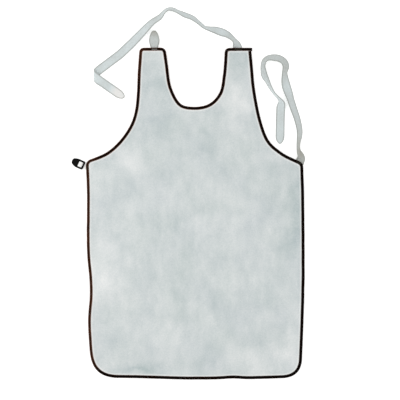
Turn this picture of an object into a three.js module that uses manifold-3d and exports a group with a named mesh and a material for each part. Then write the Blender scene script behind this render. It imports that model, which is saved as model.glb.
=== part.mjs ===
// Leather welding apron, laid on its back with its front face up.
// Millimetres, +Z up, +Y towards the neck, right is +X.
// The origin is on the surface that the apron lies on, under the middle of the panel.

import * as THREE from 'three';
import { mergeVertices } from 'three/addons/utils/BufferGeometryUtils.js';
import Module from 'manifold-3d';

const wasm = await Module();
wasm.setup();

const { clamp, degToRad, lerp, smoothstep } = THREE.MathUtils;

// Leather: thicknesses, widths and the gap that neighbouring pieces keep
const GAP = 0.3;
const PANEL_THICKNESS = 1.6;
const BINDING_WALL = 1.0;
const BINDING_WIDTH = 7.5;
const BINDING_NUB = 3;
const STRAP_WIDTH = 24;
const STRAP_THICKNESS = 1.8;
const STRAP_TIP = 15;
const LOOP_THICKNESS = 1.5;
const TAB_THICKNESS = 2.4;
const TAB_LENGTH = 44;

// Mesh steps: lengths along the edge and across the panel, counts along curves
const EDGE_STEP = 24;
const GRID_STEP = 26;
const GRID_CLEARANCE = 12;
const BORDER_MARGIN = 1;
const TURN_STEPS = 4;
const STEPS_PER_ROW = 2;
const FOLD_STEPS = 6;
const RUN_STEPS = 4;
const TIP_STEPS = 5;
const TIP_SWEEP = 84;
const ROUND_SIDES = 16;
const CUT_OVERRUN = 1;

// Middle line of the edge binding, anticlockwise from the square corner of the right shoulder.
// Rows with a turn are corners, rounded over that length. The rows between are on smooth curves.
const EDGE_ROWS = [
  // Right shoulder, then down and up the neck scoop
  { x: 148.5, y: 450.5, turn: 0 },
  { x: 84.5, y: 450, turn: 9 },
  { x: 79, y: 378 },
  { x: 68, y: 328 },
  { x: 38, y: 297 },
  { x: -4, y: 288.5 },
  { x: -42, y: 297 },
  { x: -70, y: 345 },
  { x: -80, y: 408 },
  // Left shoulder and armhole
  { x: -86.5, y: 450.5, turn: 10 },
  { x: -150, y: 450.5, turn: 9 },
  { x: -154, y: 394 },
  { x: -161, y: 290 },
  { x: -175, y: 243 },
  { x: -206, y: 196 },
  { x: -244, y: 163 },
  // Left side with its soft dent
  { x: -298, y: 141, turn: 12 },
  { x: -294.5, y: 70 },
  { x: -294.5, y: -101 },
  { x: -286, y: -208 },
  { x: -291.5, y: -299 },
  // Hem
  { x: -281, y: -446.5, turn: 66 },
  { x: -131, y: -449 },
  { x: -50, y: -451.5 },
  { x: 60, y: -451.5 },
  { x: 100, y: -449 },
  { x: 144, y: -451 },
  { x: 286, y: -446.5, turn: 48 },
  // Right side and armhole
  { x: 291, y: -332 },
  { x: 295, y: -180 },
  { x: 294, y: 40 },
  { x: 291, y: 135.5, turn: 9 },
  { x: 236, y: 163 },
  { x: 200, y: 195 },
  { x: 178.5, y: 246 },
  { x: 161, y: 328 },
];

// Soft swells in the panel: centre, direction in degrees, reach along and across it, height
const SWELLS = [
  { x: -262, y: -208, turn: 8, along: 130, across: 40, height: 6.5 },
  { x: 165, y: 30, turn: 72, along: 230, across: 60, height: 4.0 },
  { x: -165, y: 110, turn: -58, along: 170, across: 55, height: 3.5 },
  { x: 190, y: -270, turn: 38, along: 190, across: 62, height: 4.5 },
  { x: -110, y: -370, turn: -14, along: 170, across: 50, height: 4.0 },
  { x: 10, y: 215, turn: 6, along: 120, across: 42, height: 3.5 },
];
const SWELL_CUT = 0.6;
const FLAT_MIDDLE = { radius: 60, blend: 130 };

// Places where a sewn end lies beneath the panel and lifts it
const LIFT = { radius: 52, reach: 130 };
const EDGE_RAMP = 34;
const LIFTS = [
  { x: 116, y: 440, height: STRAP_THICKNESS + GAP },
  { x: -113.5, y: 440, height: 2 * (LOOP_THICKNESS + GAP) },
  { x: 284, y: 132, height: STRAP_THICKNESS + GAP },
  { x: -292, y: 124, height: TAB_THICKNESS + GAP },
];

// Neck strap from its sewn end: middle line, and roll in degrees from lying flat
const NECK_STRAP_ROWS = [
  { x: 116, y: 424, roll: 0 },
  { x: 116, y: 446, roll: 0 },
  { x: 116, y: 459, roll: 0 },
  { x: 112, y: 469, roll: 36 },
  { x: 105, y: 478, roll: 70 },
  { x: 96, y: 487, roll: 54 },
  { x: 78, y: 499, roll: 28 },
  { x: 53, y: 507, roll: 40 },
  { x: 30, y: 514, roll: 74 },
  { x: 13, y: 523, roll: 75 },
  { x: -8, y: 537, roll: 54 },
  { x: -35, y: 551, roll: 64 },
  { x: -68, y: 560, roll: 70 },
  { x: -84, y: 555, roll: 74 },
  { x: -98, y: 545, roll: 60 },
  { x: -118, y: 527, roll: 46 },
  { x: -147, y: 498, roll: 44 },
  { x: -172, y: 471, roll: 32 },
  { x: -190, y: 453, roll: 8 },
  { x: -208, y: 437, roll: 0 },
];

// The strap then runs straight on and folds over a crease along Y, and its end settles on the surface
const NECK_FOLD = { crease: -272.5, radius: 6, headingX: -0.8, headingY: -0.6, endRun: 183, settle: 72 };

// Waist strap from its sewn end
const WAIST_STRAP_ROWS = [
  { x: 275, y: 117, roll: 0 },
  { x: 283, y: 133, roll: 0 },
  { x: 289, y: 148, roll: 0 },
  { x: 287, y: 159, roll: 34 },
  { x: 284, y: 170, roll: 66 },
  { x: 281, y: 187, roll: 76 },
  { x: 284, y: 206, roll: 66 },
  { x: 284.5, y: 228, roll: 52 },
  { x: 277.5, y: 262, roll: 46 },
  { x: 266.5, y: 295, roll: 46 },
  { x: 256, y: 328, roll: 18 },
  { x: 250, y: 345, roll: 12 },
  { x: 246, y: 363, roll: 40 },
  { x: 246, y: 390, roll: 54 },
  { x: 247, y: 411, roll: 56 },
  { x: 239, y: 423, roll: 58 },
  { x: 222, y: 427, roll: 52 },
  { x: 206, y: 426, roll: 54 },
  { x: 191, y: 420, roll: 60 },
  { x: 184, y: 407, roll: 62 },
  { x: 187, y: 386, roll: 54 },
  { x: 200, y: 356, roll: 60 },
  { x: 214, y: 330, roll: 76 },
  { x: 226, y: 316, roll: 74 },
  { x: 233, y: 303, roll: 34 },
  { x: 235, y: 284, roll: 4 },
  { x: 233.5, y: 252, roll: 0 },
  { x: 232, y: 208, roll: 0 },
];

// Neck loop, a strip folded double: height of its middle layer and its width, from end to end
const LOOP_X = -113.5;
const LOOP_ROWS = [
  { y: 424, z: 0.75, width: 18 },
  { y: 454, z: 0.75, width: 18 },
  { y: 466, z: 0.75, width: 26 },
  { y: 477, z: 0.75, width: 29 },
  { y: 490, z: 0.85, width: 26 },
  { y: 498, z: 1.6, width: 20 },
  { y: 502, z: 4.8, width: 14 },
  { y: 498, z: 8.2, width: 20 },
  { y: 490, z: 8.9, width: 26 },
  { y: 477, z: 8.2, width: 29 },
  { y: 466, z: 5.0, width: 26 },
  { y: 456, z: 2.6, width: 19 },
  { y: 444, z: 2.55, width: 18 },
  { y: 424, z: 2.55, width: 18 },
];

// Slide buckle, in its own frame: u from the grip lip to the end bar, v across
const BUCKLE = { x: -321.8, y: 137, turn: -24, height: 5, bevel: 0.8 };
const BUCKLE_FRAME = { u0: -7.5, u1: 16.5, v0: -12, v1: 12, corner: 4 };
const BUCKLE_WINDOW = { u0: -0.3, u1: 11.8, v0: -7.5, v1: 7.5, corner: 1.5 };
const BUCKLE_LIP = { u0: -19.5, u1: -4, v0: -7.5, v1: 8.5, corner: 6 };
const MIDDLE_BAR = { u: 3.5, z: 3.1, radius: 1.6 };
const LIP_RIBS = { first: -16, step: 3.2, count: 3, length: 1.3, width: 10, height: 0.7 };

// Closed solid from points and triangles, with its faces turned outwards
function solid(points, faces) {
  const volume = faces.reduce((sum, [a, b, c]) => {
    return sum + points[a].dot(new THREE.Vector3().crossVectors(points[b], points[c]));
  }, 0);
  const outward = volume > 0 ? faces : faces.map(([a, b, c]) => [a, c, b]);
  const geometry = new THREE.BufferGeometry().setFromPoints(points);
  geometry.setIndex(outward.flat());
  geometry.computeVertexNormals();
  return geometry;
}

// Closed sweep of a flat section through frames of an origin and two directions. Opposite sides are
// split along the same diagonal, so that the two faces of a twisted strip stay parallel
function sweep(section, frames) {
  const count = section.length;
  const points = frames.flatMap(({ origin, across, up }) =>
    section.map((corner) =>
      origin.clone().addScaledVector(across, corner.x).addScaledVector(up, corner.y)));
  const faces = [];
  for (let ring = 0; ring < frames.length - 1; ring += 1) {
    for (let k = 0; k < count; k += 1) {
      const a = ring * count + k;
      const b = ring * count + ((k + 1) % count);
      const forwards = section[k].x < section[(k + 1) % count].x;
      faces.push([a, b, forwards ? b + count : a + count]);
      faces.push([forwards ? a : b, b + count, a + count]);
    }
  }
  const last = (frames.length - 1) * count;
  for (const [a, b, c] of THREE.ShapeUtils.triangulateShape(section, [])) {
    faces.push([a, c, b], [last + a, last + b, last + c]);
  }
  return solid(points, faces);
}

function rectangle(width, height) {
  const x = width / 2;
  const y = height / 2;
  return [[-x, -y], [x, -y], [x, y], [-x, y]].map(([u, v]) => new THREE.Vector2(u, v));
}

// Points along one smooth stretch of the edge, short of the turns at its two corners
function stretchPoints(rows) {
  const curve = new THREE.CatmullRomCurve3(rows.map(({ x, y }) => new THREE.Vector3(x, y, 0)));
  const length = curve.getLength();
  const start = rows[0].turn / length;
  const end = 1 - rows.at(-1).turn / length;
  const steps = Math.max(1, Math.round(((end - start) * length) / EDGE_STEP));
  return Array.from({ length: steps + 1 }, (_, i) => curve.getPointAt(lerp(start, end, i / steps)));
}

// The whole edge line as a closed ring of points
function edgeLine() {
  const closed = [...EDGE_ROWS, EDGE_ROWS[0]];
  const corners = closed.flatMap((row, index) => ('turn' in row ? [index] : []));
  const stretches = corners.slice(1).map((end, i) => stretchPoints(closed.slice(corners[i], end + 1)));
  return stretches.flatMap((points, i) => {
    const corner = closed[corners[i + 1]];
    if (corner.turn === 0) {
      return points.slice(0, -1);
    }
    const next = stretches[(i + 1) % stretches.length][0];
    const bend = new THREE.Vector3(corner.x, corner.y, 0);
    const turn = new THREE.QuadraticBezierCurve3(points.at(-1), bend, next).getPoints(TURN_STEPS);
    return [...points, ...turn.slice(1, -1)];
  });
}

const EDGE = edgeLine();

// Direction to the right of a step from one point to the next, which is out of the apron
function rightOf(from, to) {
  const step = new THREE.Vector3().subVectors(to, from).normalize();
  return new THREE.Vector3(step.y, -step.x, 0);
}

// Outward direction at each edge point, lengthened at corners so that offsets stay parallel
const EDGE_OUTWARD = EDGE.map((point, i) => {
  const before = rightOf(EDGE.at(i - 1), point);
  const after = rightOf(point, EDGE[(i + 1) % EDGE.length]);
  const mitre = 1 + before.dot(after);
  return before.add(after).divideScalar(mitre);
});

// Distance from the edge line to a point, negative outside the apron
function insetOf(x, y) {
  let nearest = Infinity;
  let inside = false;
  EDGE.forEach((a, i) => {
    const b = EDGE[(i + 1) % EDGE.length];
    const run = { x: b.x - a.x, y: b.y - a.y };
    const share = ((x - a.x) * run.x + (y - a.y) * run.y) / (run.x ** 2 + run.y ** 2);
    const t = clamp(share, 0, 1);
    nearest = Math.min(nearest, Math.hypot(x - a.x - t * run.x, y - a.y - t * run.y));
    if (a.y > y !== b.y > y && x < a.x + ((y - a.y) / run.y) * run.x) {
      inside = !inside;
    }
  });
  return inside ? nearest : -nearest;
}

// Height of the panel's underside: soft swells, lifts over sewn ends and the binding's lower flange
function undersideAt(x, y, inset) {
  const swell = SWELLS.reduce((sum, row) => {
    const turn = degToRad(row.turn);
    const along = ((x - row.x) * Math.cos(turn) + (y - row.y) * Math.sin(turn)) / row.along;
    const across = ((y - row.y) * Math.cos(turn) - (x - row.x) * Math.sin(turn)) / row.across;
    return sum + row.height * Math.exp(-(along ** 2) - across ** 2);
  }, 0);
  const fromMiddle = smoothstep(Math.hypot(x, y), FLAT_MIDDLE.radius, FLAT_MIDDLE.blend);
  const lift = LIFTS.reduce((sum, row) => {
    const distance = Math.hypot(x - row.x, y - row.y);
    return sum + row.height * (1 - smoothstep(distance, LIFT.radius, LIFT.reach));
  }, 0);
  const rim = (BINDING_WALL + GAP) * (1 - smoothstep(inset, 0, EDGE_RAMP));
  return Math.max(0, swell - SWELL_CUT) * fromMiddle + lift + rim;
}

// Ring of points on the panel's underside, parallel to the edge line
function panelRing(offset) {
  return EDGE.map((point, i) => {
    const ring = point.clone().addScaledVector(EDGE_OUTWARD[i], offset);
    ring.z = undersideAt(point.x, point.y, 0);
    return ring;
  });
}

// Square cells that fit well inside the edge, as quads of keys, with the point of each key
function panelCells() {
  const reach = Math.ceil(Math.max(...EDGE.map(({ y }) => Math.abs(y))) / GRID_STEP);
  const points = new Map();
  const cells = [];
  for (let i = -reach; i < reach; i += 1) {
    for (let j = -reach; j < reach; j += 1) {
      const quad = [[i, j], [i + 1, j], [i + 1, j + 1], [i, j + 1]];
      const corners = quad.map(([a, b]) => [a * GRID_STEP, b * GRID_STEP]);
      const insets = corners.map(([x, y]) => insetOf(x, y));
      if (Math.min(...insets) > GRID_CLEARANCE) {
        corners.forEach(([x, y], k) => {
          points.set(quad[k].join(), new THREE.Vector3(x, y, undersideAt(x, y, insets[k])));
        });
        cells.push(quad.map((key) => key.join()));
      }
    }
  }
  return { points, cells };
}

// Closed loop of keys around a group of cells, anticlockwise
function loopAround(cells) {
  const sides = cells.flatMap((quad) => quad.map((key, k) => [key, quad[(k + 1) % quad.length]]));
  const seen = new Set(sides.map(([from, to]) => `${from} ${to}`));
  const next = new Map(sides.filter(([from, to]) => !seen.has(`${to} ${from}`)));
  const loop = [next.keys().next().value];
  while (loop.length < next.size) {
    loop.push(next.get(loop.at(-1)));
  }
  return loop;
}

// Triangles between two rings of points that run side by side, closing the shorter diagonal each time
function bandBetween(outer, inner) {
  const gaps = inner.map((point) => point.distanceTo(outer[0]));
  const shift = gaps.indexOf(Math.min(...gaps));
  const outerAt = (i) => i % outer.length;
  const innerAt = (j) => (j + shift) % inner.length;
  const diagonal = (i, j) => outer[outerAt(i)].distanceTo(inner[innerAt(j)]);
  const faces = [];
  let i = 0;
  let j = 0;
  while (i < outer.length || j < inner.length) {
    const alongOuter = j === inner.length || (i < outer.length && diagonal(i + 1, j) < diagonal(i, j + 1));
    const tip = alongOuter ? outerAt(i + 1) : outer.length + innerAt(j + 1);
    faces.push([outerAt(i), tip, outer.length + innerAt(j)]);
    i += alongOuter ? 1 : 0;
    j += alongOuter ? 0 : 1;
  }
  return faces;
}

// Panel: a border strip under the binding, a band of triangles, and a grid of cells inside
function panelGeometry() {
  const count = EDGE.length;
  const outer = panelRing(BINDING_WIDTH / 2 - BINDING_WALL - GAP);
  const inner = panelRing(-BINDING_WIDTH / 2 - BORDER_MARGIN);
  const { points, cells } = panelCells();
  const indexOf = new Map([...points.keys()].map((key, k) => [key, 2 * count + k]));
  const loop = loopAround(cells);
  const band = [...inner.keys()].map((k) => count + k).concat(loop.map((key) => indexOf.get(key)));

  const strip = outer.flatMap((_, a) => {
    const b = (a + 1) % count;
    return [[a, b, count + b], [a, count + b, count + a]];
  });
  const bandFaces = bandBetween(inner, loop.map((key) => points.get(key)));
  const cellFaces = cells.flatMap((quad) => {
    const [a, b, c, d] = quad.map((key) => indexOf.get(key));
    return [[a, b, c], [a, c, d]];
  });
  const faces = [...strip, ...bandFaces.map((face) => face.map((k) => band[k])), ...cellFaces];

  const under = [...outer, ...inner, ...points.values()];
  const above = under.map((point) => point.clone().setZ(point.z + PANEL_THICKNESS));
  const size = under.length;
  const upper = faces.map((face) => face.map((k) => size + k));
  const lower = faces.map(([a, b, c]) => [a, c, b]);
  const rim = outer.flatMap((_, a) => {
    const b = (a + 1) % count;
    return [[a, b, size + b], [a, size + b, size + a]];
  });
  return solid([...under, ...above], [...upper, ...lower, ...rim]);
}

// Binding: a strip folded round the panel's edge, from its nub past the square corner to its butted end
function bindingGeometry() {
  const half = BINDING_WIDTH / 2;
  const top = PANEL_THICKNESS + GAP;
  const slot = half - BINDING_WALL;
  const section = [
    [-half, -GAP - BINDING_WALL],
    [slot, -GAP - BINDING_WALL],
    [half, -GAP],
    [half, top],
    [slot, top + BINDING_WALL],
    [-half, top + BINDING_WALL],
    [-half, top],
    [slot, top],
    [slot, -GAP],
    [-half, -GAP],
  ].map(([out, rise]) => new THREE.Vector2(out, rise));

  const corner = EDGE[0];
  const first = new THREE.Vector3().subVectors(corner, EDGE[1]).setLength(half + BINDING_NUB);
  const last = new THREE.Vector3().subVectors(EDGE.at(-1), corner).setLength(half + GAP);
  const line = [corner.clone().add(first), ...EDGE.slice(1), corner.clone().add(last)];
  const sides = [rightOf(corner, EDGE[1]), ...EDGE_OUTWARD.slice(1), rightOf(EDGE.at(-1), corner)];
  const frames = line.map((point, i) => ({
    origin: new THREE.Vector3(point.x, point.y, undersideAt(point.x, point.y, 0)),
    across: sides[i],
    up: new THREE.Vector3(0, 0, 1),
  }));
  return sweep(section, frames);
}

// Frame of a strap at a point of its middle line, with its lower edge on the surface
function strapFrame(x, y, heading, rollDegrees) {
  const roll = degToRad(rollDegrees);
  const side = new THREE.Vector3(-heading.y, heading.x, 0);
  const rise = Math.sin(roll) * STRAP_WIDTH / 2 + Math.cos(roll) * STRAP_THICKNESS / 2;
  return {
    origin: new THREE.Vector3(x, y, rise),
    across: side.clone().multiplyScalar(Math.cos(roll)).setZ(Math.sin(roll)),
    up: side.clone().multiplyScalar(-Math.sin(roll)).setZ(Math.cos(roll)),
  };
}

// Frames along a table of rows, on one smooth curve through their places and rolls
function strapFrames(rows) {
  const curve = new THREE.CatmullRomCurve3(rows.map(({ x, y, roll }) => new THREE.Vector3(x, y, roll)));
  const samples = curve.getPoints((rows.length - 1) * STEPS_PER_ROW);
  return samples.map((sample, i) => {
    const from = samples[Math.max(i - 1, 0)];
    const to = samples[Math.min(i + 1, samples.length - 1)];
    const heading = new THREE.Vector2(to.x - from.x, to.y - from.y).normalize();
    return strapFrame(sample.x, sample.y, heading, Math.max(sample.z, 0));
  });
}

// Rounded flat tip that carries a strap on from a point
function tipFrames(start, heading) {
  return Array.from({ length: TIP_STEPS }, (_, i) => {
    const angle = degToRad(TIP_SWEEP * (i + 1) / TIP_STEPS);
    const ahead = STRAP_TIP * Math.sin(angle);
    const frame = strapFrame(start.x + heading.x * ahead, start.y + heading.y * ahead, heading, 0);
    frame.across.multiplyScalar(Math.cos(angle));
    return frame;
  });
}

// Evenly spaced distances after one place and up to another
function stepsBetween(from, to, count) {
  return Array.from({ length: count }, (_, i) => lerp(from, to, (i + 1) / count));
}

// Flat run past the crease: near the fold the frames lie along the crease, so that it bends cleanly
function foldingRun(start, heading) {
  const { crease, radius, endRun } = NECK_FOLD;
  const toCrease = (crease - start.x) / heading.x;
  const pastFold = toCrease + Math.PI * radius / Math.abs(heading.x);
  const distances = [
    ...stepsBetween(0, toCrease, RUN_STEPS),
    ...stepsBetween(toCrease, pastFold, FOLD_STEPS),
    ...stepsBetween(pastFold, endRun, RUN_STEPS),
  ];
  return distances.map((distance) => {
    const frame = strapFrame(start.x + heading.x * distance, start.y + heading.y * distance, heading, 0);
    const away = Math.max(toCrease - distance, distance - pastFold, 0);
    const skew = (heading.y / heading.x) * (1 - smoothstep(away, 0, STRAP_WIDTH));
    frame.across.add(new THREE.Vector3(heading.x, heading.y, 0).multiplyScalar(skew));
    return frame;
  });
}

// Rolls what lies past the crease up and over, and lets the far end settle on the surface
function foldOver({ origin, across, up }) {
  const { crease, radius, settle } = NECK_FOLD;
  const past = crease - origin.x;
  if (past <= 0) {
    return { origin, across, up };
  }
  const angle = Math.min(past / radius, Math.PI);
  const beyond = past - angle * radius;
  const axis = new THREE.Vector3(0, 1, 0);
  const height = radius * (1 - Math.cos(angle)) * (1 - smoothstep(beyond, 0, settle));
  return {
    origin: new THREE.Vector3(crease - radius * Math.sin(angle) + beyond, origin.y, origin.z + height),
    across: across.clone().applyAxisAngle(axis, angle),
    up: up.clone().applyAxisAngle(axis, angle),
  };
}

function neckStrapGeometry() {
  const heading = new THREE.Vector2(NECK_FOLD.headingX, NECK_FOLD.headingY);
  const start = NECK_STRAP_ROWS.at(-1);
  const tipStart = {
    x: start.x + heading.x * NECK_FOLD.endRun,
    y: start.y + heading.y * NECK_FOLD.endRun,
  };
  const flat = [...foldingRun(start, heading), ...tipFrames(tipStart, heading)];
  const frames = [...strapFrames(NECK_STRAP_ROWS), ...flat.map(foldOver)];
  return sweep(rectangle(STRAP_WIDTH, STRAP_THICKNESS), frames);
}

function waistStrapGeometry() {
  const [before, end] = WAIST_STRAP_ROWS.slice(-2);
  const heading = new THREE.Vector2(end.x - before.x, end.y - before.y).normalize();
  const frames = [...strapFrames(WAIST_STRAP_ROWS), ...tipFrames(end, heading)];
  return sweep(rectangle(STRAP_WIDTH, STRAP_THICKNESS), frames);
}

// Neck loop: its strip runs out on the surface, turns over and comes back above itself
function loopGeometry() {
  const stations = LOOP_ROWS.map(({ y, z, width }) => new THREE.Vector3(y, z, width));
  const curve = new THREE.CatmullRomCurve3(stations);
  const samples = curve.getPoints((LOOP_ROWS.length - 1) * STEPS_PER_ROW);
  const frames = samples.map((sample, i) => {
    const from = samples[Math.max(i - 1, 0)];
    const to = samples[Math.min(i + 1, samples.length - 1)];
    return {
      origin: new THREE.Vector3(LOOP_X, sample.x, sample.y),
      across: new THREE.Vector3(sample.z, 0, 0),
      up: new THREE.Vector3(0, from.y - to.y, to.x - from.x).normalize(),
    };
  });
  return sweep(rectangle(1, LOOP_THICKNESS), frames);
}

// Solids for cutting and joining
function toManifold(geometry) {
  const bare = geometry.clone();
  bare.deleteAttribute('normal');
  bare.deleteAttribute('uv');
  const merged = mergeVertices(bare);
  const vertProperties = new Float32Array(merged.attributes.position.array);
  const triVerts = new Uint32Array(merged.index.array);
  return new wasm.Manifold(new wasm.Mesh({ numProp: 3, vertProperties, triVerts }));
}

function toGeometry(manifold) {
  const mesh = manifold.getMesh();
  const geometry = new THREE.BufferGeometry();
  geometry.setAttribute('position', new THREE.BufferAttribute(mesh.vertProperties, 3));
  geometry.setIndex(new THREE.BufferAttribute(mesh.triVerts, 1));
  geometry.computeVertexNormals();
  return geometry;
}

function boxBetween(low, high) {
  const size = new THREE.Vector3().subVectors(high, low);
  const middle = new THREE.Vector3().addVectors(low, high).divideScalar(2);
  return new THREE.BoxGeometry(size.x, size.y, size.z).translate(middle.x, middle.y, middle.z);
}

function barAcross(radius, length) {
  const bar = new THREE.CylinderGeometry(radius, radius, length, ROUND_SIDES);
  return bar.translate(MIDDLE_BAR.u, 0, MIDDLE_BAR.z);
}

function roundedOutline(path, { u0, u1, v0, v1, corner }) {
  path.absarc(u1 - corner, v1 - corner, corner, 0, Math.PI / 2);
  path.absarc(u0 + corner, v1 - corner, corner, Math.PI / 2, Math.PI);
  path.absarc(u0 + corner, v0 + corner, corner, Math.PI, 1.5 * Math.PI);
  path.absarc(u1 - corner, v0 + corner, corner, 1.5 * Math.PI, 2 * Math.PI);
  path.closePath();
  return path;
}

// Plate with bevelled edges, standing on the surface
function bevelledPlate(shape) {
  const { height, bevel } = BUCKLE;
  return new THREE.ExtrudeGeometry(shape, {
    depth: height - 2 * bevel,
    bevelThickness: bevel,
    bevelSize: bevel,
    bevelOffset: -bevel,
    bevelSegments: 1,
    curveSegments: 4,
  }).translate(0, 0, bevel);
}

function buckleGeometry() {
  const frame = roundedOutline(new THREE.Shape(), BUCKLE_FRAME);
  frame.holes.push(roundedOutline(new THREE.Path(), BUCKLE_WINDOW));
  const lip = roundedOutline(new THREE.Shape(), BUCKLE_LIP);
  const { u1, v0, v1 } = BUCKLE_WINDOW;
  const tabWay = boxBetween(
    new THREE.Vector3(u1 - CUT_OVERRUN, v0, -CUT_OVERRUN),
    new THREE.Vector3(BUCKLE_FRAME.u1 + CUT_OVERRUN, v1, TAB_THICKNESS + GAP),
  );
  let buckle = toManifold(bevelledPlate(frame)).add(toManifold(bevelledPlate(lip)));
  buckle = buckle.subtract(toManifold(tabWay));
  buckle = buckle.add(toManifold(barAcross(MIDDLE_BAR.radius, v1 - v0 + 2 * CUT_OVERRUN)));
  const ribMiddle = (BUCKLE_LIP.v0 + BUCKLE_LIP.v1) / 2;
  const { first, step, count, length, width, height } = LIP_RIBS;
  for (let k = 0; k < count; k += 1) {
    const u = first + k * step;
    const rib = boxBetween(
      new THREE.Vector3(u, ribMiddle - width / 2, BUCKLE.height - CUT_OVERRUN),
      new THREE.Vector3(u + length, ribMiddle + width / 2, BUCKLE.height + height),
    );
    buckle = buckle.add(toManifold(rib));
  }
  return toGeometry(buckle);
}

// Tab: an eye round the buckle's middle bar, and a tail that runs beneath the end bar to the panel
function tabGeometry() {
  const width = BUCKLE_WINDOW.v1 - BUCKLE_WINDOW.v0 - 2 * GAP;
  const tail = boxBetween(
    new THREE.Vector3(MIDDLE_BAR.u, -width / 2, 0),
    new THREE.Vector3(MIDDLE_BAR.u + TAB_LENGTH, width / 2, TAB_THICKNESS),
  );
  const eye = toManifold(barAcross(MIDDLE_BAR.z, width));
  const bore = toManifold(barAcross(MIDDLE_BAR.radius + GAP, width + 2 * CUT_OVERRUN));
  return toGeometry(eye.add(toManifold(tail)).subtract(bore));
}

function piece(name, geometry, color, roughness) {
  const mesh = new THREE.Mesh(geometry, new THREE.MeshStandardMaterial({ color, roughness, metalness: 0 }));
  mesh.name = name;
  return mesh;
}

const buckleGroup = new THREE.Group();
buckleGroup.position.set(BUCKLE.x, BUCKLE.y, 0);
buckleGroup.rotation.z = degToRad(BUCKLE.turn);
buckleGroup.add(
  piece('slide_buckle', buckleGeometry(), '#141414', 0.45),
  piece('buckle_tab', tabGeometry(), '#e2e3e2', 0.9),
);

const apron = new THREE.Group();
apron.add(
  piece('apron_panel', panelGeometry(), '#ced4d4', 0.95),
  piece('edge_binding', bindingGeometry(), '#1d110d', 0.7),
  piece('neck_strap', neckStrapGeometry(), '#cfd5d5', 0.9),
  piece('neck_loop', loopGeometry(), '#bdc0bd', 0.9),
  piece('waist_strap', waistStrapGeometry(), '#cdd2d0', 0.9),
  buckleGroup,
);

export default apron;
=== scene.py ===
# %% [markdown]
# # A leather welding apron, laid out flat
#
# The apron is one cut of pale split leather with a dark leather strip folded over its edge all
# round. Two straps, a loop and a small slide buckle are sewn to its corners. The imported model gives
# every outline and place, so this lesson starts from it, makes each piece again with finer shapes,
# and gives each one the finish that the real material has.

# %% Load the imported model
import math

import bmesh
import bpy
from mathutils import Matrix, Vector, geometry, kdtree, noise


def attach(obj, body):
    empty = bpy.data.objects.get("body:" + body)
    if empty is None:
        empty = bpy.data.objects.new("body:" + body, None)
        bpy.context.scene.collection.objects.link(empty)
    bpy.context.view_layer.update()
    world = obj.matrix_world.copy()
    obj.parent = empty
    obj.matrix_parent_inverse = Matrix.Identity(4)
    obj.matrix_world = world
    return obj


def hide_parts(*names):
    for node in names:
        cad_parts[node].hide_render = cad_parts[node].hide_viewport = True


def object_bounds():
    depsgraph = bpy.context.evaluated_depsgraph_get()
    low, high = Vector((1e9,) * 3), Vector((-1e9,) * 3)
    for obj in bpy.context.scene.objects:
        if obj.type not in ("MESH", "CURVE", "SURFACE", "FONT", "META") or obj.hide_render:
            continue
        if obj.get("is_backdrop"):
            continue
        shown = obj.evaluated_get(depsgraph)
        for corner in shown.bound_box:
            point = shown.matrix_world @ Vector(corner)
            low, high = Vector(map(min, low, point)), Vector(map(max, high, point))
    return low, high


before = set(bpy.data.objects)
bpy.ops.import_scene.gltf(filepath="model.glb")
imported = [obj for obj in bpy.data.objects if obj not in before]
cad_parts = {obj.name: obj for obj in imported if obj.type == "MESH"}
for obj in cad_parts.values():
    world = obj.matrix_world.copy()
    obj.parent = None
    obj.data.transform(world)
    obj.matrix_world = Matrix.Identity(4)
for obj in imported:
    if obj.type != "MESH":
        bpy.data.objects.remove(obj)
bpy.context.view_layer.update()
MM = 0.001
print("solids to dress:", ", ".join(sorted(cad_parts)))

# %% [markdown]
# ## The camera
#
# The apron lies on a white surface and is seen from straight above. A long lens, high up, keeps the
# sides of the apron parallel, as they are in the photograph. The distance follows from the lens and
# from the width of floor that the picture takes in.

# %% Camera
VIEW_MIDDLE = Vector((12.1, 36.9, 0)) * MM
VIEW_WIDTH = 1100 * MM
LENS_MM = 85
SENSOR_MM = 36

camera_data = bpy.data.cameras.new("camera")
camera_data.lens = LENS_MM
camera_data.sensor_width = SENSOR_MM
camera = bpy.data.objects.new("camera", camera_data)
camera.location = VIEW_MIDDLE + Vector((0, 0, VIEW_WIDTH * LENS_MM / SENSOR_MM))
bpy.context.collection.objects.link(camera)
bpy.context.scene.camera = camera
bpy.context.scene.view_settings.view_transform = "Standard"
print(f"camera {camera.location.z:.2f} m above the floor")

# %% [markdown]
# ## One helper for all materials
#
# Every finish here is a small tree of nodes. One function adds a node, sets its properties and fills
# its sockets, either with a value or with a link, so the trees below read from top to bottom.
# Colours are written as the sRGB hex values that one would pick from a picture, and turned to the
# linear values that the shader works in.


# %% Nodes and colours
def linear(hex_colour):
    """Linear red, green, blue and alpha of an sRGB colour such as 'c8ced0'."""
    shares = [int(hex_colour[i:i + 2], 16) / 255 for i in (0, 2, 4)]
    return [*(s / 12.92 if s < 0.04045 else ((s + 0.055) / 1.055) ** 2.4 for s in shares), 1]


def put(tree, kind, sockets=None, **settings):
    """Add a node with its settings, and fill its sockets by name or number with values or links."""
    made = tree.nodes.new("ShaderNode" + kind)
    for name, value in settings.items():
        setattr(made, name, value)
    for socket, value in (sockets or {}).items():
        if isinstance(value, bpy.types.NodeSocket):
            tree.links.new(value, made.inputs[socket])
        else:
            made.inputs[socket].default_value = value
    return made


def finish_tree(name):
    """A new material and its node tree, emptied."""
    material = bpy.data.materials.new(name)
    material.use_nodes = True
    material.node_tree.nodes.clear()
    return material, material.node_tree


print("pale grey leather is", [round(x, 3) for x in linear("ced4d4")])

# %% [markdown]
# ## Floor and light
#
# A photographer would lay the apron on white board and light it with large soft boxes. The board
# here glows a little of its own, as a light table does, so it stays white to the edges of the
# picture and shadows stay faint. The key light comes from the left, where the leather in the
# photograph is palest, and a weaker one fills in from the right.

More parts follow.
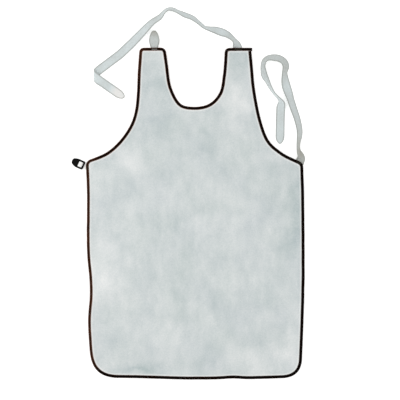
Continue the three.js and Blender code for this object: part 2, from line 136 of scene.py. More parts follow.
# %% Floor and lights
FLOOR_HALF = 30.0
FLOOR_DROP = 0.2 * MM
LIGHTS = {
    "key": dict(place=(-1.5, 0.4, 1.7), size=1.6, watts=17),
    "fill": dict(place=(1.6, -0.5, 1.9), size=1.8, watts=12),
}
SKY_STRENGTH = 0.74

board, tree = finish_tree("matt_white_board")
shade = put(tree, "BsdfPrincipled", {
    "Base Color": linear("f4f4f3"), "Roughness": 0.9, "Specular IOR Level": 0.1,
    "Emission Color": linear("ffffff"), "Emission Strength": 0.4})
put(tree, "OutputMaterial", {"Surface": shade.outputs[0]})

floor_bm = bmesh.new()
bmesh.ops.create_grid(floor_bm, x_segments=1, y_segments=1, size=FLOOR_HALF)
bmesh.ops.translate(floor_bm, vec=(0, 0, -FLOOR_DROP), verts=floor_bm.verts)
floor_mesh = bpy.data.meshes.new("floor")
floor_bm.to_mesh(floor_mesh)
floor_bm.free()
floor_mesh.materials.append(board)
floor = bpy.data.objects.new("floor", floor_mesh)
bpy.context.collection.objects.link(floor)
floor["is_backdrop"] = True

for name, light in LIGHTS.items():
    data = bpy.data.lights.new(name, "AREA")
    data.energy, data.size = light["watts"], light["size"]
    lamp = bpy.data.objects.new(name, data)
    lamp.location = light["place"]
    lamp.rotation_euler = (-lamp.location).to_track_quat("-Z", "Y").to_euler()
    bpy.context.collection.objects.link(lamp)

sky = bpy.data.worlds.new("sky")
sky.use_nodes = True
sky.node_tree.nodes["Background"].inputs["Color"].default_value = linear("ffffff")
sky.node_tree.nodes["Background"].inputs["Strength"].default_value = SKY_STRENGTH
bpy.context.scene.world = sky
print("lights:", ", ".join(LIGHTS), "and an even sky")

# %% [markdown]
# ## Smooth lines
#
# The outline of the apron, the run of its straps and the turn of its loop are all given as a short
# table of places in millimetres. A smooth curve through a table could come from a curve object, but
# the solids were made with a centripetal Catmull-Rom curve, which makes no cusps or small loops. So
# the same curve is drawn here piece by piece as Bezier arcs. That keeps the pieces where the solids
# are.


# %% Curves through tables
def smooth_line(points, steps):
    """Points on one smooth curve through the given points, with some steps from each to the next."""
    ends = [2 * points[0] - points[1], *points, 2 * points[-1] - points[-2]]
    line = []
    for before, start, end, after in zip(ends, ends[1:], ends[2:], ends[3:]):
        a, b, c = (math.sqrt((q - p).length) for p, q in ((before, start), (start, end), (end, after)))
        leave = (start - before) / a - (end - before) / (a + b) + (end - start) / b
        arrive = (end - start) / b - (after - start) / (b + c) + (after - end) / c
        arc = geometry.interpolate_bezier(start, start + leave * b / 3, end - arrive * b / 3, end, steps + 1)
        line += arc[:-1]
    return [*line, points[-1]]


def evenly(points, skip_start, skip_end, step):
    """Points an even step apart along a line, short of its two ends by the given lengths."""
    lengths = [0.0]
    for p, q in zip(points, points[1:]):
        lengths.append(lengths[-1] + (q - p).length)
    first, last = skip_start, lengths[-1] - skip_end
    count = max(1, round((last - first) / step))
    spaced, at = [], 0
    for i in range(count + 1):
        want = first + (last - first) * i / count
        while at < len(points) - 2 and lengths[at + 1] < want:
            at += 1
        share = (want - lengths[at]) / (lengths[at + 1] - lengths[at])
        spaced.append(points[at].lerp(points[at + 1], share))
    return spaced


print("a test arc has", len(smooth_line([Vector((0, 0)), Vector((1, 0)), Vector((1, 1))], 8)), "points")

# %% [markdown]
# ## The edge line
#
# This is the middle line of the binding, anticlockwise from the square corner of the right shoulder,
# in millimetres. A row with a third number is a corner: the line is rounded there over that length.
# The other rows are passed smoothly: the neck scoop, the arm curves and the slightly wavy sides.

# %% Edge line
EDGE_ROWS = [
    (148.5, 450.5, 0), (84.5, 450, 9), (79, 378), (68, 328), (38, 297), (-4, 288.5), (-42, 297),
    (-70, 345), (-80, 408), (-86.5, 450.5, 10), (-150, 450.5, 9), (-154, 394), (-161, 290),
    (-175, 243), (-206, 196), (-244, 163), (-298, 141, 12), (-294.5, 70), (-294.5, -101),
    (-286, -208), (-291.5, -299), (-281, -446.5, 66), (-131, -449), (-50, -451.5), (60, -451.5),
    (100, -449), (144, -451), (286, -446.5, 48), (291, -332), (295, -180), (294, 40), (291, 135.5, 9),
    (236, 163), (200, 195), (178.5, 246), (161, 328),
]
EDGE_STEP = 4
ROW_STEPS = 24
TURN_STEPS = 8
TURN_STRETCH = 1.5


def edge_line():
    """The whole edge line as a closed ring of points."""
    rows = [*EDGE_ROWS, EDGE_ROWS[0]]
    corners = [i for i, row in enumerate(rows) if len(row) == 3]
    stretches = []
    for start, end in zip(corners, corners[1:]):
        line = smooth_line([Vector(row[:2]) for row in rows[start:end + 1]], ROW_STEPS)
        stretches.append(evenly(line, rows[start][2], rows[end][2], EDGE_STEP))
    ring = []
    for i, points in enumerate(stretches):
        *place, turn = rows[corners[i + 1]]
        if turn == 0:
            ring += points[:-1]
            continue
        start, bend, end = points[-1], Vector(place), stretches[(i + 1) % len(stretches)][0]
        # Handles two thirds of the way to the corner make the arc a parabola.
        handles = start.lerp(bend, 2 / 3), end.lerp(bend, 2 / 3)
        steps = max(TURN_STEPS, round(TURN_STRETCH * turn / EDGE_STEP))
        ring += points + geometry.interpolate_bezier(start, *handles, end, steps + 1)[1:-1]
    return ring


EDGE = edge_line()
perimeter = sum((q - p).length for p, q in zip(EDGE, EDGE[1:] + EDGE[:1]))
print(f"edge line of {len(EDGE)} points, {perimeter / 1000:.2f} m round")


# %% Outwards, and how far inside
def right_of(start, end):
    """Direction to the right of a step, which is out of the apron when going anticlockwise."""
    step = (end - start).normalized()
    return Vector((step.y, -step.x))


EDGE_OUTWARD = []
for i, point in enumerate(EDGE):
    before, after = right_of(EDGE[i - 1], point), right_of(point, EDGE[(i + 1) % len(EDGE)])
    EDGE_OUTWARD.append((before + after) / (1 + before.dot(after)))

edge_tree = kdtree.KDTree(len(EDGE) * 2)
for i, point in enumerate(EDGE):
    edge_tree.insert(point.to_3d(), 2 * i)
    edge_tree.insert(point.lerp(EDGE[(i + 1) % len(EDGE)], 0.5).to_3d(), 2 * i + 1)
edge_tree.balance()


def inset_of(x, y):
    """Distance of a place inside the edge line, 0 outside it."""
    near, index, distance = edge_tree.find((x, y, 0))
    outside = (Vector((x, y)) - near.to_2d()).dot(EDGE_OUTWARD[index // 2]) > 0
    return 0 if outside else distance


print(f"the middle of the apron is {inset_of(0, 0):.0f} mm inside its edge")

# %% [markdown]
# ## How the leather lies
#
# Split leather is limp and heavy, so the panel lies almost flat, with a few long low swells where it
# was folded in its packet. It is lifted a little over the ends that are sewn under it, and all round
# by the lower half of the binding. The same height function serves the panel, the binding and the
# stitches, so they stay together. Two faint layers of noise keep the surface from being ideally
# smooth: broad unevenness, and small puckers beside the seam.

# %% Height of the underside
# Swells: x, y, turn in degrees, reach along, reach across, height.
SWELLS = [
    (-262, -208, 8, 130, 40, 6.5), (165, 30, 72, 230, 60, 4), (-165, 110, -58, 170, 55, 3.5),
    (190, -270, 38, 190, 62, 4.5), (-110, -370, -14, 170, 50, 4), (10, 215, 6, 120, 42, 3.5),
]
SWELL_CUT = 0.6
FLAT_MIDDLE = (60, 130)
# Lifts over the sewn ends: x, y, height.
LIFTS = [(116, 440, 2.1), (-113.5, 440, 3.6), (284, 132, 2.1), (-292, 124, 2.7)]
LIFT_REACH = (52, 130)
BINDING_WALL = 1.0
GAP = 0.3
EDGE_RAMP = 34
UNEVEN = dict(size=70, height=0.7)
PUCKER = dict(size=17, height=0.7, reach=22, layer=50)


def smooth(value, low, high):
    """0 below low, 1 above high and an even S between."""
    t = min(max((value - low) / (high - low), 0), 1)
    return t * t * (3 - 2 * t)


def underside(x, y, inset):
    """Height of the panel's underside in millimetres, inset being the distance from the edge line."""
    swell = 0
    for at_x, at_y, turn, along, across, height in SWELLS:
        c, s = math.cos(math.radians(turn)), math.sin(math.radians(turn))
        u, v = (x - at_x) * c + (y - at_y) * s, (y - at_y) * c - (x - at_x) * s
        swell += height * math.exp(-(u / along) ** 2 - (v / across) ** 2)
    lift = sum(h * (1 - smooth(math.hypot(x - a, y - b), *LIFT_REACH)) for a, b, h in LIFTS)
    rim = (BINDING_WALL + GAP) * (1 - smooth(inset, 0, EDGE_RAMP))
    flat = smooth(math.hypot(x, y), *FLAT_MIDDLE)
    uneven = UNEVEN["height"] * (0.5 + 0.5 * noise.noise(Vector((x, y, 0)) / UNEVEN["size"]))
    puckered = noise.noise(Vector((x, y, PUCKER["layer"])) / PUCKER["size"])
    pucker = PUCKER["height"] * (0.5 + 0.5 * puckered)
    near = 1 - smooth(inset, 0, PUCKER["reach"])
    return max(0, swell - SWELL_CUT) * flat + lift + rim + uneven + pucker * near


for x, y in ((0, 0), SWELLS[0][:2]):
    print(f"underside at {x}, {y} is {underside(x, y, inset_of(x, y)):.2f} mm high")

# %% [markdown]
# ## Split leather
#
# The panel and the straps are split cowhide: the lower layer of a hide, sueded on both faces and
# dyed a pale grey that took unevenly. To the eye that is matt, with soft blotches some centimetres
# across, short fibres that catch the light, and edges of another tone: paler where the panel was
# pressed beside its binding, and darker along a strap's cut edges, partly their own colour and
# partly painted shade where the rounded edges turn away. Hide has an index of about 1.5 and the nap
# scatters nearly all gloss. Single fibres are a tenth of a millimetre thick; the tufts are drawn at
# about 1 mm and the matted patches at 4.5 mm, so that they show in a picture of the whole apron.
# The pieces carry their broad tone with them, and on the straps that tone holds painted shade too.
# Four sizes of noise add to it, and where the sum is highest the dye is rubbed off and the bare
# leather shows.

# %% Split leather
BLOTCH_MM = 75
STREAK_MM = 19
NAP_MM = 4.5
FIBRE_MM = 1.1
TINT_MM = 110
STREAK_DRAW = (1, 0.4, 1)
TONE_SHARES = dict(blotch=0.6, streak=0.34, nap=0.55, fibre=0.6)
BARED_TONES = (0.95, 1.35)
LEATHER_IOR = 1.5


def split_leather(name, deep, pale, bare, edge, edge_mm, edge_share):
    """Sueded leather from deep to pale, bare where it is rubbed, with a band of another tone at its edge."""
    material, tree = finish_tree(name)
    place = put(tree, "TexCoord").outputs["Object"]
    blotch = put(tree, "TexNoise", {"Vector": place, "Scale": 1 / (BLOTCH_MM * MM), "Detail": 2.0})
    drawn = put(tree, "Mapping", {"Vector": place, "Scale": STREAK_DRAW})
    streak = put(tree, "TexNoise", {"Vector": drawn.outputs[0], "Scale": 1 / (STREAK_MM * MM), "Detail": 3.0})
    nap = put(tree, "TexNoise", {"Vector": place, "Scale": 1 / (NAP_MM * MM), "Detail": 4.0,
                                 "Roughness": 0.7})
    fibre = put(tree, "TexNoise", {"Vector": place, "Scale": 1 / (FIBRE_MM * MM), "Detail": 2.0,
                                   "Roughness": 0.6, "Distortion": 1.2})
    tone = put(tree, "Attribute", attribute_name="tone").outputs["Fac"]
    for kind, texture in dict(blotch=blotch, streak=streak, nap=nap, fibre=fibre).items():
        centred = put(tree, "Math", {0: texture.outputs["Fac"], 1: 0.5}, operation="SUBTRACT")
        added = put(tree, "Math", {0: centred.outputs[0], 1: TONE_SHARES[kind], 2: tone},
                    operation="MULTIPLY_ADD")
        tone = added.outputs[0]
    tint = put(tree, "TexNoise", {"Vector": place, "Scale": 1 / (TINT_MM * MM), "Detail": 1.0})
    deeps = put(tree, "Mix", {"Factor": tint.outputs["Fac"], "A": linear(deep[0]), "B": linear(deep[1])},
                data_type="RGBA")
    dyed = put(tree, "Mix", {"Factor": tone, "A": deeps.outputs["Result"], "B": linear(pale)},
               data_type="RGBA")
    low, high = BARED_TONES
    bared = put(tree, "MapRange", {"Value": tone, "From Min": low, "From Max": high})
    colour = put(tree, "Mix", {"Factor": bared.outputs[0], "A": dyed.outputs["Result"], "B": linear(bare)},
                 data_type="RGBA")
    from_edge = put(tree, "Attribute", attribute_name="from_edge").outputs["Fac"]
    near, far = (at * MM for at in edge_mm)
    band = put(tree, "MapRange", {"Value": from_edge, "From Min": near, "From Max": far,
                                  "To Min": edge_share, "To Max": 0.0})
    edged = put(tree, "Mix", {"Factor": band.outputs[0], "A": colour.outputs["Result"],
                              "B": linear(edge)}, data_type="RGBA")
    lumps = put(tree, "Bump", {"Height": nap.outputs["Fac"], "Strength": 0.5, "Distance": 1.0 * MM})
    fuzz = put(tree, "Bump", {"Height": fibre.outputs["Fac"], "Strength": 0.7, "Distance": 0.5 * MM,
                              "Normal": lumps.outputs[0]})
    rough = put(tree, "MapRange", {"Value": fibre.outputs["Fac"], "To Min": 0.8, "To Max": 1.0})
    shade = put(tree, "BsdfPrincipled", {
        "Base Color": edged.outputs["Result"], "Roughness": rough.outputs[0], "IOR": LEATHER_IOR,
        "Specular IOR Level": 0.2, "Sheen Weight": 0.15, "Sheen Roughness": 0.5,
        "Normal": fuzz.outputs[0]})
    put(tree, "OutputMaterial", {"Surface": shade.outputs[0]})
    return material


panel_leather = split_leather("sueded_split_cowhide", ("9eb0ac", "a0adb4"), "e3e5e4", "eeedea", "f3f4f2",
                              (5.5, 9.5), 0.6)
print("made", panel_leather.name, "with", len(panel_leather.node_tree.nodes), "nodes")

# %% [markdown]
# ## The panel
#
# Skirt, bib and shoulders are one cut of leather 1.6 mm thick. A grid trimmed to the outline would
# have a ragged border, so the outline itself is filled as one face, and planes a few millimetres
# apart cut that face into cells. Each point is then set to its height. A Solidify modifier gives the
# wall its thickness. Every point also keeps its distance from the edge, and a tone: the broad paler
# and darker areas of this hide, as centre, reach across and along, and strength.

# %% Tone of the hide
HIDE_TONE = 0.57
# Areas: x, y, reach across, reach along, strength.
HIDE_AREAS = [
    (-265, -195, 50, 90, 0.29), (-226, -100, 45, 50, 0.14), (-172, 155, 45, 30, 0.22),
    (110, 322, 40, 55, 0.26), (-75, -345, 48, 38, 0.2), (265, -360, 40, 45, 0.3),
    (100, 50, 90, 45, 0.08), (-107, 367, 35, 18, -0.18), (-102, 235, 45, 62, -0.22),
    (24, 200, 20, 34, -0.24), (154, 111, 25, 18, -0.16), (205, 55, 22, 45, -0.14),
    (278, 22, 30, 105, -0.29), (214, -9, 14, 50, -0.1), (-43, -18, 18, 40, -0.12),
    (250, -109, 35, 45, -0.12), (180, -200, 60, 40, -0.08), (-34, -266, 22, 35, -0.1),
    (58, -275, 20, 45, -0.14), (5, -415, 60, 32, -0.12), (-160, -431, 55, 10, -0.3),
    (122, 425, 35, 30, -0.18), (-226, 138, 8, 25, -0.12), (-280, 105, 24, 40, 0.2),
    (111, 5, 22, 18, -0.12), (160, -415, 90, 35, 0.14), (-115, -245, 40, 35, 0.1),
    (215, 165, 28, 22, 0.16),
]
AREA_WANDER = dict(size=45, reach=34)


def hide_tone(x, y):
    """Tone of the hide at a place, from 0, deep, to 1, pale. The areas have wandering borders."""
    wander = noise.noise_vector(Vector((x, y, 0)) / AREA_WANDER["size"]) * AREA_WANDER["reach"]
    x, y = x + wander.x, y + wander.y
    return HIDE_TONE + sum(
        strength * math.exp(-((x - a) / wide) ** 2 - ((y - b) / high) ** 2)
        for a, b, wide, high, strength in HIDE_AREAS)


print(f"tone of the hide at the middle {hide_tone(0, 0):.2f}")

# %% Panel
PANEL_THICKNESS = 1.6
PANEL_OVERLAP = 2.1
CELL = 6
ON_PLANE = 0.01
SLIVER = 0.15


def piece(name, bm, material, node=None):
    """Make an object of the apron from a bmesh, with smooth faces, its finish and what it stands for."""
    for face in bm.faces:
        face.smooth = True
    mesh = bpy.data.meshes.new(name)
    bm.to_mesh(mesh)
    bm.free()
    mesh.materials.append(material)
    made = bpy.data.objects.new(name, mesh)
    bpy.context.collection.objects.link(made)
    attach(made, "root")
    if node:
        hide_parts(node)
    return made


bm = bmesh.new()
bm.faces.new([bm.verts.new((p + out * PANEL_OVERLAP).to_3d()) for p, out in zip(EDGE, EDGE_OUTWARD)])
for axis in (0, 1):
    normal = Vector((axis == 0, axis == 1, 0))
    low, high = (f(v.co[axis] for v in bm.verts) for f in (min, max))
    for k in range(1, math.ceil((high - low) / CELL)):
        bmesh.ops.bisect_plane(bm, geom=[*bm.verts, *bm.edges, *bm.faces], dist=ON_PLANE,
                               plane_co=normal * (low + k * CELL), plane_no=normal)
bmesh.ops.remove_doubles(bm, verts=bm.verts, dist=SLIVER)
from_edge = bm.verts.layers.float.new("from_edge")
tone = bm.verts.layers.float.new("tone")
for v in bm.verts:
    inset = inset_of(v.co.x, v.co.y)
    v[from_edge] = inset * MM
    v[tone] = hide_tone(v.co.x, v.co.y)
    v.co.z = underside(v.co.x, v.co.y, inset)
bmesh.ops.scale(bm, vec=(MM, MM, MM), verts=bm.verts)
panel_area = sum(f.calc_area() for f in bm.faces)
panel = piece("leather_panel", bm, panel_leather, "apron_panel")
wall = panel.modifiers.new("wall", "SOLIDIFY")
wall.thickness = PANEL_THICKNESS * MM
wall.offset = 1
print(f"panel of {len(panel.data.polygons)} faces, {panel_area:.4f} square metres")

# %% [markdown]
# ## Binding leather
#
# The edge strip is thin garment leather, smooth side out and dyed a very dark brown. It has a fine
# pebble grain and a low, uneven gloss. It turns a lighter brown at both its rims, on the left more
# than on the right, and all across its width on the left side and the left shoulder: partly where
# hands and folds rub the dye through, and partly as painted light where the key light from the left
# falls. The strip carries that share, and the crests of the pebbles take it first. The pebbles are
# drawn at 1.1 mm, about twice their size, so that a near view shows them.

# %% Binding leather
PEBBLE_MM = 1.1
WORN_MM = 26

binding_leather, tree = finish_tree("dark_garment_leather")
place = put(tree, "TexCoord").outputs["Object"]
pebble = put(tree, "TexVoronoi", {"Vector": place, "Scale": 1 / (PEBBLE_MM * MM)}, feature="SMOOTH_F1")
worn = put(tree, "TexNoise", {"Vector": place, "Scale": 1 / (WORN_MM * MM), "Detail": 4.0, "Roughness": 0.6})
# The lighter brown share: rubbed wear at the rims, and painted light strongest on the left side.
rub_and_light = put(tree, "Attribute", attribute_name="rub_and_light").outputs["Fac"]
crests = put(tree, "MapRange", {"Value": pebble.outputs["Distance"], "From Min": 0.0, "From Max": 0.5,
                                "To Min": 1.35, "To Max": 0.7})
crest_rub_and_light = put(tree, "Math", {0: crests.outputs[0], 1: rub_and_light}, operation="MULTIPLY")
rubbed_and_lit = put(tree, "Math", {0: worn.outputs["Fac"], 1: crest_rub_and_light.outputs[0]}, operation="MULTIPLY")
colour = put(tree, "Mix", {"Factor": rubbed_and_lit.outputs[0], "A": linear("060201"), "B": linear("865238")},
             data_type="RGBA")
rough = put(tree, "MapRange", {"Value": worn.outputs["Fac"], "To Min": 0.62, "To Max": 0.85})
grain = put(tree, "Bump", {"Height": pebble.outputs["Distance"], "Strength": 0.6, "Distance": 0.5 * MM},
            invert=True)
shade = put(tree, "BsdfPrincipled", {
    "Base Color": colour.outputs["Result"], "Roughness": rough.outputs[0], "IOR": LEATHER_IOR,
    "Specular IOR Level": 0.025, "Normal": grain.outputs[0]})
put(tree, "OutputMaterial", {"Surface": shade.outputs[0]})
print("made", binding_leather.name)

# %% [markdown]
# ## The binding
#
# On the real apron this is a flat strip, folded lengthwise over the raw edge and sewn through. It is
# made the same way: a flat grid, as long as the edge and a few points wide, is bent so that each row
# of points takes the folded section at its place on the edge line. The section is the outer skin,
# from the upper inner rim over the fold to the lower inner rim, and a Solidify modifier gives it the
# thickness inwards. It is pulled down where the seam runs and swells between the seam and the fold.
# A hand-fed strip is never even, so it wanders a little from side to side, and it is a little wider
# than its solid, less so on the left. The strip starts a little past the square corner of the right
# shoulder, where its two ends lap.

# %% Folded section
BINDING_HALF = 3.75
FOLD_CENTRE = (1.65, 0.8)
FOLD_RADIUS = 2.1
FOLD_ANGLES = (75, 45, 15, -15, -45, -75)
# Places on the section: outwards from the edge line, and up from the underside of the panel.
SECTION = [
    (-BINDING_HALF, 2.45), (-3.45, 2.8), (-2.8, 2.85), (-2.3, 2.68), (-1.7, 2.88), (-0.4, 3.08),
    *((FOLD_CENTRE[0] + FOLD_RADIUS * math.cos(math.radians(a)),
       FOLD_CENTRE[1] + FOLD_RADIUS * math.sin(math.radians(a))) for a in FOLD_ANGLES),
    (0.4, -1.3), (-1.8, -1.3), (-BINDING_HALF, -1.3),
]


def bent_grid(frames, section, *attributes):
    """A flat grid with a row of points for each frame, bent so that each row takes the section there."""
    bm = bmesh.new()
    layers = [bm.verts.layers.float.new(name) for name in attributes]
    bmesh.ops.create_grid(bm, x_segments=len(frames) - 1, y_segments=len(section) - 1, size=0.5)
    stations = {}
    for v in bm.verts:
        i, k = round((v.co.x + 0.5) * (len(frames) - 1)), round((v.co.y + 0.5) * (len(section) - 1))
        origin, across, up = frames[i]
        out, rise = section[k]
        v.co = (origin + across * out + up * rise) * MM
        stations[i, k] = v
    return bm, stations, *layers


print(f"folded section of {len(SECTION)} points, {2 * BINDING_HALF} mm wide")

# %% Run of the binding
BINDING_NUB = 3
LEFT_SIDE = (-285, -262)
WANDER = dict(size=38, reach=0.4)
WIDER = dict(left=1.04, elsewhere=1.14)
UP = Vector((0, 0, 1))

corner = EDGE[0]
first = (corner - EDGE[1]).normalized() * (BINDING_HALF + BINDING_NUB)
last = (EDGE[-1] - corner).normalized() * (BINDING_HALF * WIDER["elsewhere"] + WANDER["reach"] + GAP)
line = [corner + first, *EDGE[1:-1], corner + last]
sides = [right_of(corner, EDGE[1]), *EDGE_OUTWARD[1:-1], right_of(EDGE[-1], corner)]
binding_frames = []
for point, side in zip(line, sides):
    drift = WANDER["reach"] * noise.noise(point.to_3d() / WANDER["size"])
    origin = (point + side * drift).to_3d()
    origin.z = underside(point.x, point.y, 0)
    on_left = 1 - smooth(point.x, *LEFT_SIDE)
    wide = WIDER["elsewhere"] + (WIDER["left"] - WIDER["elsewhere"]) * on_left
    binding_frames.append((origin, side.to_3d() * wide, UP))
print(f"the binding runs through {len(binding_frames)} frames")

# %% Binding
RIM_RUB_AND_LIGHT = dict(most=1.8, reach=0.95, fall=4, rise=(-0.6, 1.6))
RUB_AND_LIGHT_FADES = dict(left_to_right=(-160, 420), at_hem=0.4, hem=(-445, -400))
LEFT_RUB_AND_LIGHT = 0.26
LEFT_SHOULDER = dict(x=(-150, -120), y=(350, 400))
UPPER_HALF = 3

bm, stations, rub_and_light = bent_grid(binding_frames, SECTION, "rub_and_light")
# Partly rubbed wear at the rims and partly painted light from the key light on the left, fading to the right
# and at the hem.
for (i, k), v in stations.items():
    x, y = line[i]
    rim_share = 1 - smooth(x, *RUB_AND_LIGHT_FADES["left_to_right"])
    rim_share *= RUB_AND_LIGHT_FADES["at_hem"] + (1 - RUB_AND_LIGHT_FADES["at_hem"]) * smooth(y, *RUB_AND_LIGHT_FADES["hem"])
    out, rise = SECTION[k]
    rim = RIM_RUB_AND_LIGHT["most"] * math.exp(-((BINDING_HALF - abs(out)) / RIM_RUB_AND_LIGHT["reach"]) ** RIM_RUB_AND_LIGHT["fall"])
    rim *= smooth(rise, *RIM_RUB_AND_LIGHT["rise"])
    side = 1 - smooth(x, *LEFT_SIDE)
    shoulder = (1 - smooth(x, *LEFT_SHOULDER["x"])) * smooth(y, *LEFT_SHOULDER["y"])
    v[rub_and_light] = rim * rim_share + LEFT_RUB_AND_LIGHT * max(side, shoulder)
bmesh.ops.recalc_face_normals(bm, faces=bm.faces)
upper = [f for f in bm.faces if f.calc_center_median().z > UPPER_HALF * MM]
if sum(f.normal.z * f.calc_area() for f in upper) < 0:
    bmesh.ops.reverse_faces(bm, faces=bm.faces)
binding = piece("folded_binding", bm, binding_leather, "edge_binding")
wall = binding.modifiers.new("wall", "SOLIDIFY")
wall.thickness = BINDING_WALL * MM
wall.offset = -1
print(f"binding strip of {len(binding.data.polygons)} faces")

# %% [markdown]
# ## Stitches
#
# The binding is held by a row of lockstitches through both its halves and the panel. Bump would be
# lost in the exported mesh, so each stitch is a small body of thread: a sphere with few faces,
# because there are hundreds of them, stretched along the seam and half sunk in the leather. The
# thread is bonded polyester, about 1 mm thick, with an index of 1.57 and a slight gloss. The twist of
# its plies shows as two tones about a millimetre apart.

# %% Thread
PLY_MM = 1.0
THREAD_IOR = 1.57


def thread(name, hex_colour, hex_shadow):
    """Bonded polyester thread in two tones."""
    material, tree = finish_tree(name)
    place = put(tree, "TexCoord").outputs["Object"]
    plies = put(tree, "TexNoise", {"Vector": place, "Scale": 1 / (PLY_MM * MM), "Detail": 1.0})
    colour = put(tree, "Mix", {"Factor": plies.outputs["Fac"], "A": linear(hex_shadow),
                               "B": linear(hex_colour)}, data_type="RGBA")
    twist = put(tree, "Bump", {"Height": plies.outputs["Fac"], "Strength": 0.4, "Distance": 0.2 * MM})
    shade = put(tree, "BsdfPrincipled", {
        "Base Color": colour.outputs["Result"], "Roughness": 0.55, "IOR": THREAD_IOR,
        "Specular IOR Level": 0.15, "Normal": twist.outputs[0]})
    put(tree, "OutputMaterial", {"Surface": shade.outputs[0]})
    return material


bm = bmesh.new()
bmesh.ops.create_uvsphere(bm, u_segments=6, v_segments=4, radius=MM)
round_stitch = bpy.data.meshes.new("round_stitch")
bm.to_mesh(round_stitch)
bm.free()


def add_stitch(bm, place, along, up, length, width):
    """Add one stitch to a bmesh, lying along a direction on a surface that faces up."""
    along = along.normalized()
    side = up.cross(along).normalized()
    turn = Matrix((along * length / 2, side * width / 2, along.cross(side) * width / 2)).transposed()
    stitch = round_stitch.copy()
    stitch.transform(Matrix.Translation(place * MM) @ turn.to_4x4())
    bm.from_mesh(stitch)
    bpy.data.meshes.remove(stitch)


brown_thread = thread("brown_bonded_thread", "22150f", "0e0705")
print("made", brown_thread.name)

# %% Binding seam
SEAM_INSET = 2.3
STITCH_PITCH = 4.0
STITCH_LENGTH = 3.1
STITCH_WIDTH = 1.0
SEAM_RISE = 2.72

seam_line = [p - out * SEAM_INSET for p, out in zip(EDGE[1:], EDGE_OUTWARD[1:])]
bm = bmesh.new()
places = evenly(seam_line, STITCH_PITCH, STITCH_PITCH, STITCH_PITCH)
for start, end in zip(places, places[1:]):
    middle = (start + end) / 2
    ends = [Vector((p.x, p.y, underside(p.x, p.y, SEAM_INSET) + SEAM_RISE)) for p in (start, middle, end)]
    add_stitch(bm, ends[1], ends[2] - ends[0], UP, STITCH_LENGTH, STITCH_WIDTH)
seam = piece("binding_seam", bm, brown_thread)
print(f"{len(places) - 1} stitches, {len(seam.data.polygons)} faces")

# %% [markdown]
# ## Straps
#
# Each strap is a plain strip of the same split leather, 24 mm wide and 1.8 mm thick with cut edges.
# Limp leather that was pushed aside does not lie flat all along: it turns up on its edge, twists
# back, and folds over. A simulation could drop it so, but would not land it where the photograph has
# it. So a table gives the middle line of each strap and its roll, the angle by which it leans up
# from the floor, and a flat grid is bent through the frames that follow from that. The grid is as
# wide as the whole outline of the strip's section, so its two long sides meet and are merged, its
# ends are filled, and the strip is closed.

# %% Frames along a strap
STRAP_WIDTH = 24
STRAP_THICKNESS = 1.8
STRAP_STEPS = 7


def step_at(line, i):
    """Step from the point before to the point after one of the points of a line."""
    return line[min(i + 1, len(line) - 1)] - line[max(i - 1, 0)]


def run_length(frames):
    """Length of the run through frames, in millimetres."""
    return sum((q[0] - p[0]).length for p, q in zip(frames, frames[1:]))


def strap_frame(x, y, heading, roll):
    """Origin, across and up of a strap at a point of its middle line, its lower edge on the floor."""
    lean = math.radians(roll)
    side = Vector((-heading.y, heading.x, 0))
    rise = math.sin(lean) * STRAP_WIDTH / 2 + math.cos(lean) * STRAP_THICKNESS / 2
    return (Vector((x, y, rise)), side * math.cos(lean) + UP * math.sin(lean),
            UP * math.cos(lean) - side * math.sin(lean))


def strap_frames(rows):
    """Frames along a table of places and rolls."""
    line = smooth_line([Vector(row) for row in rows], STRAP_STEPS)
    frames = []
    for i, (x, y, roll) in enumerate(line):
        heading = step_at(line, i).to_2d().normalized()
        frames.append(strap_frame(x, y, heading, max(roll, 0)))
    return frames


upright = strap_frame(0, 0, Vector((1, 0)), 90)
print(f"a strap on edge has its middle {upright[0].z:.0f} mm up")

# %% Rounded tip
STRAP_TIP = 22
TIP_TAPER = 1.2
TIP_STEPS = 9
TIP_SWEEP = 80


def tip_frames(start, heading):
    """Frames of a rounded flat tip that carries a strap on from a point."""
    frames = []
    for i in range(TIP_STEPS):
        angle = math.radians(TIP_SWEEP * (i + 1) / TIP_STEPS)
        place = start + heading * STRAP_TIP * math.sin(angle)
        origin, across, up = strap_frame(*place, heading, 0)
        frames.append((origin, across * math.cos(angle) ** TIP_TAPER, up))
    return frames


print(f"a tip is {run_length(tip_frames(Vector((0, 0)), Vector((1, 0)))):.0f} mm long")

# %% Strips of leather
STRAP_CURL = 0.5
CUT_ROUND = 0.45
CUT_CORNER = 0.3
WELD = 0.001
CAP_ANGLE = 60

# The dark band at a strap's cut edges is partly their own colour and partly painted shade of the rounded
# edges.
strap_leather = split_leather("cut_split_cowhide_strap", ("a19f97", "a0a29b"), "d2dbdc", "e4e2df",
                              "979995", (0.8, 4.4), 0.8)


def strip_section(width, thickness, curl):
    """Closed outline of a strip: two flat faces, rounded cut edges, and both edges curled up a little."""
    half, rise, r = width / 2, thickness / 2, CUT_ROUND
    cut = CUT_CORNER * r
    quarter = [(0, rise), (half / 2, rise), (half - 2 * r, rise), (half - r, rise),
               (half - cut, rise - cut), (half, rise - r)]
    outline = [*quarter, *((x, -y) for x, y in quarter[::-1]), *((-x, -y) for x, y in quarter[1:]),
               *((-x, y) for x, y in quarter[::-1])]
    return [(x, y + curl * (x / half) ** 2) for x, y in outline]


